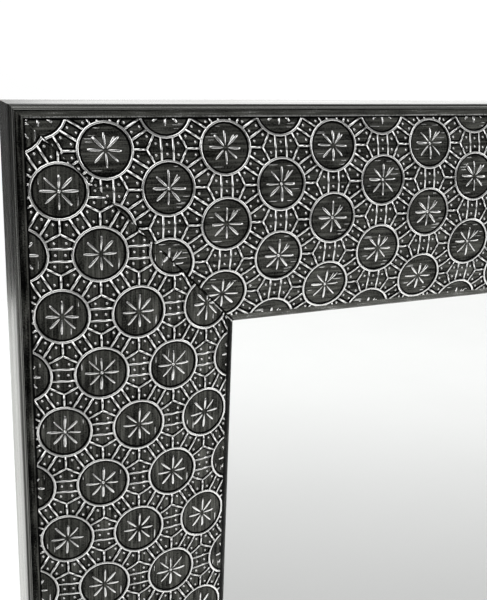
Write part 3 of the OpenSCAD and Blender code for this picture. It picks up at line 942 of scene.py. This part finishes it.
def strip_section(member):
    """The edge strip's section in h and d, each point with its tone: rim, bead, corner, side and return, with painted
    shade on the side's front and corner.
    """
    moulding = settings("moulding")
    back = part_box(f"{member.name}_core")[1].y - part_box(f"{member.name}_facing")[0].y
    thick, glue, rim = moulding.strip_thickness, moulding.glue, moulding.rim_width
    top, back_outer = glue + thick, back + thick

    def face_at(h, rise):
        return member.on_face(member.angle_at(h), rise)

    points = [
        (*face_at(rim, glue), 0.0),
        (*face_at(rim, 0.7 * top), 0.12),
        (*face_at(rim - 0.15 * MM, top - 0.12 * MM), 0.2),
        (*face_at(1.85 * MM, top - 0.22 * MM), 0.05),
    ]
    # The bead's crest is rubbed lighter than its flanks; its tone for each kind of member adds painted shade on the
    # stiles and painted reflection on the rails
    for step in range(7):
        aside, up = turned(BEAD_RADIUS, -75 + 25 * step)
        tone = TONES[member.kind]["bead"] if abs(step - 3) < 2 else 0.12
        points.append((*face_at(BEAD_AT - aside, top - 0.30 * MM + up), tone))
    points.append((*face_at(0.80 * MM, top - 0.22 * MM), 0.05))
    # Painted shade: the tones darken from the back of the side towards the rounded front corner
    corner_d = face_at(CORNER_RADIUS, top - 0.05 * MM)[1] + CORNER_RADIUS
    for step in range(7):
        aside, up = turned(CORNER_RADIUS, 15 * step)
        points.append((CORNER_RADIUS - aside, corner_d - up, 0.14))
    side = back - corner_d
    points += [(0.0, corner_d + 0.16 * side, 0.24), (0.0, corner_d + 0.45 * side, 0.46), (0.0, back - 2 * MM, 0.5)]
    for step in range(5):
        down, aside = turned(BACK_RADIUS, 22.5 * step)
        points.append((BACK_RADIUS - aside, back_outer - BACK_RADIUS + down, 0.55))
    return points + [
        (moulding.return_width, back_outer, 0.5),
        (moulding.return_width, back + 0.02 * MM, 0.4),
        (thick, back + 0.02 * MM, 0.3),
        (thick, corner_d + 0.6 * MM, 0.3),
        (*face_at(thick + 0.25 * MM, glue), 0.2),
    ]


def strip_piece(member, material):
    """The plain strip: its section swept along the member and cut to the mitres."""
    bm = new_cell()
    relief = bm.verts.layers.float["relief"]
    loop = []
    for h, d, tone in strip_section(member):
        vert = bm.verts.new((h, d, 0.0))
        vert[relief] = tone
        loop.append(vert)
    ends = [bm.faces.new(loop)]
    lengths = 12
    for step in range(lengths):
        swept = bmesh.ops.extrude_face_region(bm, geom=[ends[-1]])["geom"]
        bmesh.ops.translate(
            bm, verts=of_kind(swept, bmesh.types.BMVert), vec=(0.0, 0.0, member.length / lengths)
        )
        if step:
            bmesh.ops.delete(bm, geom=[ends[-1]], context="FACES_ONLY")
        ends += of_kind(swept, bmesh.types.BMFace)[:1]
    bmesh.ops.recalc_face_normals(bm, faces=bm.faces)
    flat = bm.loops.layers.uv.new("sheet")
    across = {vert.co.to_tuple(6)[:2]: i for i, vert in enumerate(loop)}
    run = [0.0]
    for before, vert in zip(loop, loop[1:]):
        run.append(run[-1] + (vert.co - before.co).length)
    for face in bm.faces:
        face.smooth = True
        for corner in face.loops:
            i = across[corner.vert.co.to_tuple(6)[:2]]
            corner[flat].uv = (run[i], corner.vert.co.z)
    member.cut_mitres(bm, 0.02 * MM)
    member.set_in_place(bm)
    piece = finish_piece(f"{member.strip}_drawn", bm, material, [member.strip])
    piece.data.set_sharp_from_angle(angle=math.radians(38))


class MIRROR_OT_facings(Operator):
    """Press the four embossed facings: sheet, medallions and lattice"""

    bl_idname = "mirror.facings"
    bl_label = "Embossed facings"

    def execute(self, context):
        seed = settings("emboss").seed
        noise.seed_set(seed)
        material = facing_material()
        medallions = {
            kind: [medallion_mesh(variant, **drawn) for variant in range(VARIANTS)] for kind, drawn in DRAWN.items()
        }
        lattice = [lattice_mesh()]
        for number, name in enumerate(MEMBERS):
            member = Member(name)
            sheet_piece(member, material)
            pattern_piece(f"{name}_medallions", member, medallions[member.kind], material, seed + number)
            pattern_piece(f"{name}_lattice", member, lattice, material, seed + 10 + number)
        for mesh in medallions["stile"] + medallions["rail"] + lattice:
            bpy.data.meshes.remove(mesh)
        return {"FINISHED"}


class MIRROR_OT_edge_strips(Operator):
    """Draw the four plain edge strips with their bead and return"""

    bl_idname = "mirror.edge_strips"
    bl_label = "Edge strips"

    def execute(self, context):
        material = strip_material()
        for name in MEMBERS:
            strip_piece(Member(name), material)
        return {"FINISHED"}


class MIRROR_OT_glass(Operator):
    """Cut the mirror glass, ease its arris and silver its back"""

    bl_idname = "mirror.glass"
    bl_label = "Mirror glass"

    def execute(self, context):
        eased_copy("mirror_glass", "mirror_pane", silvered_glass_material(), 0.5)
        return {"FINISHED"}


class MIRROR_OT_timber(Operator):
    """Finish the four timber cores"""

    bl_idname = "mirror.timber"
    bl_label = "Timber cores"

    def execute(self, context):
        upright = timber_material("softwood_upright", (0.0, 0.0, 0.0))
        level = timber_material("softwood_level", (0.0, math.pi / 2, 0.0))
        dress(upright, *(f"{name}_core" for name in STILES))
        dress(level, *(f"{name}_core" for name in RAILS))
        return {"FINISHED"}


class MIRROR_OT_backing(Operator):
    """Finish what lies behind the glass: film, tape, blocks, packing and board"""

    bl_idname = "mirror.backing"
    bl_label = "Backing"

    def execute(self, context):
        dress(soft_material("shatter_film", "film", 0.3, 90.0, 0.06, 0.02), "shatter_film")
        dress(soft_material("cell_rubber", "rubber", 0.85, 1400.0, 0.3, 0.12), "rebate_tape", "setting_blocks")
        dress(soft_material("packing_foam", "foam", 0.8, 700.0, 0.08, 0.2), "foam_packing")
        eased_copy("backing_board", "backing_sheet", board_material(), 0.4)
        return {"FINISHED"}


PLATE_EASING_MM = 0.25


class MIRROR_OT_turn_buttons(Operator):
    """Press the turn buttons and finish the screws, nails and tacks"""

    bl_idname = "mirror.turn_buttons"
    bl_label = "Turn buttons"

    def execute(self, context):
        zinc = steel_material("zinc_plate", tint("zinc"), (math.pi / 2, 0.0, 0.0), 0.30)
        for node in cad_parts:
            if node.startswith("turn_button_") and node != "turn_button_screws":
                eased_copy(node, f"{node}_pressed", zinc, PLATE_EASING_MM, node)
        screws = [f"{place}_screws" for place in ("turn_button", "corner", "hanger", "bumper")]
        dress(zinc, *screws, "v_nails", "edge_strip_tacks")
        return {"FINISHED"}


class MIRROR_OT_hangers(Operator):
    """Finish the strap hangers and their rings"""

    bl_idname = "mirror.hangers"
    bl_label = "Hangers"

    def execute(self, context):
        nickel = steel_material("nickel_plate", tint("nickel"), (math.pi / 2, 0.0, 0.0), 0.16)
        for side in ("left", "right"):
            strap = f"strap_hanger_{side}"
            eased_copy(strap, f"{strap}_pressed", nickel, PLATE_EASING_MM)
            dress(nickel, f"d_ring_{side}")
        return {"FINISHED"}


class MIRROR_OT_corner_plates(Operator):
    """Stamp the corner plates"""

    bl_idname = "mirror.corner_plates"
    bl_label = "Corner plates"

    def execute(self, context):
        plate = steel_material("stamped_plate", tint("zinc"), (math.pi / 2, 0.0, math.pi / 4), 0.34)
        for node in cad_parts:
            if node.startswith("corner_plate_"):
                eased_copy(node, f"{node}_stamped", plate, PLATE_EASING_MM)
        return {"FINISHED"}


class MIRROR_OT_bumpers(Operator):
    """Mould the wall bumpers"""

    bl_idname = "mirror.bumpers"
    bl_label = "Wall bumpers"

    def execute(self, context):
        rubber = soft_material("moulded_rubber", "rubber", 0.7, 900.0, 0.25, 0.06)
        eased_copy("wall_bumpers", "wall_bumpers_moulded", rubber, 0.7)
        return {"FINISHED"}


# The studio: the floor's shade for reflections, in metres, and where the surround is bright


HALF_WIDTH = (2.6, 3.6)
GLASS_SIDE = (0.15, 0.75)
GLASS_LEAN = 0.8
SLANT = 0.36
GRADIENT = (-4.55, -1.15)
GRADIENT_END = (-1.9, -1.5)
GRADIENT_SHADE = 0.465
LEFT_SIDE = (-1.2, 0.4)
LEFT_BACK = (-4.8, -3.6)
LEFT_FRONT = (-0.4, 0.4)
LEFT_SHADE = 0.30
WHITE_FROM = (1.2, 4.5)
WHITE = (0.98, 0.98, 0.98)
ABOVE_AIM = (-0.42, -0.48, 0.77)
BEYOND_AIM = (0.55, 0.83, 0.0)
BEYOND_STRENGTH = 1.3
SOFTBOX_AT = Vector((3.0, -1.8, 2.6))
SOFTBOX_AIM = Vector((0.0, 0.0, 1.2))
SOFTBOX_SIZE = 1.6


class MIRROR_OT_studio(Operator):
    """Set the floor, the lights, the white surround and the camera"""

    bl_idname = "mirror.studio"
    bl_label = "Studio"

    def execute(self, context):
        studio, scene = settings("studio"), context.scene
        scene.view_settings.view_transform = "Standard"
        self.lay_floor()
        self.light_surround(scene, studio.walls, studio.ceiling)
        self.light_floor(studio.floor_light)
        self.hang_softbox(studio.side)
        self.place_camera(scene, studio)
        return {"FINISHED"}

    def light_floor(self, strength):
        """Broad light from above that whitens the floor and leaves no glint on the metal."""
        light = bpy.data.lights.new("floor_light", "SUN")
        light.energy = strength
        light.angle = math.radians(50)
        lamp = in_scene("floor_light", light)
        lamp.rotation_euler = (math.radians(24), math.radians(14), 0.0)
        lamp.visible_glossy = False

    def floor_material(self):
        """Pale matt floor; what the glass and the metal see of it carries a painted shade that deepens towards the
        middle of the room.
        """
        material, tree, shader = new_material("pale_floor", Roughness=0.6, Specular_IOR_Level=0.35)
        bright = tint("floor")
        place = object_place(tree)
        across, near = separate(place)[:2]
        inside = remap(calculate("ABSOLUTE", across), *HALF_WIDTH, 1.0, 0.0)
        slanted = minus(near, times(across, SLANT))
        inside = times(inside, remap(plus(across, times(near, GLASS_LEAN)), *GLASS_SIDE, 1.0, 0.0))
        before = times(inside, remap(slanted, *GRADIENT))
        middle = times(before, remap(slanted, *GRADIENT_END, 1.0, 0.0))
        pale = mix_colour(middle, bright, scaled(bright, GRADIENT_SHADE))
        left = times(inside, remap(across, *LEFT_SIDE, 1.0, 0.0))
        front = times(remap(near, *LEFT_BACK), remap(near, *LEFT_FRONT, 1.0, 0.0))
        pale = mix_colour(times(left, front), pale, scaled(bright, LEFT_SHADE))
        seen = tree.nodes.new("ShaderNodeLightPath").outputs["Is Camera Ray"]
        far = remap(chain("ShaderNodeVectorMath", {0: place}, operation="LENGTH")["Value"], *WHITE_FROM)
        pale = mix_colour(seen, pale, mix_colour(far, bright, WHITE))
        mottle = use_group("Mottle", Vector=place, Slow=2.0, Fine=160.0, Colour=pale, Spread=0.02)
        surface(shader, mottle["Colour"])
        return material

    def lay_floor(self):
        bm = bmesh.new()
        bmesh.ops.create_grid(bm, x_segments=8, y_segments=8, size=5.2)
        transformed(bm, Matrix.Translation((0.0, 0.0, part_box("edge_strip_bottom")[0].z - 0.5 * MM)))
        floor = in_scene("studio_floor", mesh_of("studio_floor", bm))
        floor.data.materials.append(self.floor_material())

    def light_surround(self, scene, walls, ceiling):
        """White where the camera sees past the object, and a dimmer studio for what it reflects."""
        world = bpy.data.worlds.new("studio")
        scene.world = world
        world.use_nodes = True
        tree = world.node_tree
        tree.nodes.clear()
        seen = tree.nodes.new("ShaderNodeLightPath").outputs["Is Camera Ray"]
        direction = add_node(tree, "ShaderNodeTexCoord").outputs["Generated"]
        across, near, up = separate(direction)
        above, beyond = (
            chain("ShaderNodeVectorMath", {0: direction, 1: aim}, operation="DOT_PRODUCT")["Value"]
            for aim in (ABOVE_AIM, BEYOND_AIM)
        )
        around = remap(across, -0.35, 0.15, 0.2 * walls, walls)
        above = remap(above, 0.70, 0.92, 0.0, ceiling)
        beyond = times(remap(beyond, 0.86, 0.94, 0.0, BEYOND_STRENGTH), remap(up, -0.12, -0.04))
        strength = calculate("MAXIMUM", seen, plus(plus(around, above), beyond))
        back = chain("ShaderNodeBackground", {"Color": (1.0, 1.0, 1.0), "Strength": strength})
        add_node(tree, "ShaderNodeOutputWorld", {"Surface": back[0]})

    def hang_softbox(self, power):
        light = bpy.data.lights.new("side_softbox", "AREA")
        light.shape = "SQUARE"
        light.size = SOFTBOX_SIZE
        light.energy = power
        lamp = in_scene("side_softbox", light)
        lamp.location = SOFTBOX_AT
        lamp.rotation_euler = (SOFTBOX_AIM - SOFTBOX_AT).to_track_quat("-Z", "Y").to_euler()
        lamp.visible_camera = False

    def place_camera(self, scene, studio):
        """Turns the camera by a rotation vector from looking along +Y."""
        data = bpy.data.cameras.new("camera")
        data.sensor_fit = "VERTICAL"
        data.sensor_height = 36.0
        data.lens = studio.lens
        data.clip_start = 0.01
        camera = in_scene("camera", data)
        turn = Vector(studio.camera_axis)
        rotation = Matrix.Rotation(turn.length, 3, turn.normalized())
        right, down, ahead = Matrix(((1, 0, 0), (0, 0, -1), (0, 1, 0))) @ rotation
        axes = Matrix((right, -down, -ahead)).transposed().to_4x4()
        place = Vector((studio.camera_right, studio.camera_forward, studio.camera_up))
        camera.matrix_world = Matrix.Translation(place) @ axes
        scene.camera = camera


OPERATORS = (
    MIRROR_OT_studio,
    MIRROR_OT_facings,
    MIRROR_OT_edge_strips,
    MIRROR_OT_glass,
    MIRROR_OT_timber,
    MIRROR_OT_backing,
    MIRROR_OT_turn_buttons,
    MIRROR_OT_hangers,
    MIRROR_OT_corner_plates,
    MIRROR_OT_bumpers,
)


class MIRROR_PT_pieces(Panel):
    """The mirror's sizes, colours and pieces"""

    bl_idname = "MIRROR_PT_pieces"
    bl_label = "Mirror"
    bl_space_type = "VIEW_3D"
    bl_region_type = "UI"
    bl_category = "Mirror"

    def draw(self, context):
        layout = self.layout
        for operator in OPERATORS:
            layout.operator(operator.bl_idname)
        for name, group in SETTINGS.items():
            box = layout.box()
            for key in group.__annotations__:
                box.prop(getattr(context.scene, name), key)


CLASSES = tuple(SETTINGS.values()) + OPERATORS + (MIRROR_PT_pieces,)


def register():
    for item in CLASSES:
        bpy.utils.register_class(item)
    for name, group in SETTINGS.items():
        setattr(bpy.types.Scene, name, PointerProperty(type=group))


def unregister():
    for name in SETTINGS:
        delattr(bpy.types.Scene, name)
    for item in reversed(CLASSES):
        bpy.utils.unregister_class(item)


def main():
    register()
    for build in (build_streaks_group, build_hand_rubbed_group, build_grain_group, build_mottle_group):
        build()
    for operator in OPERATORS:
        category, action = operator.bl_idname.split(".")
        getattr(getattr(bpy.ops, category), action)()


if __name__ == "__main__":
    main()
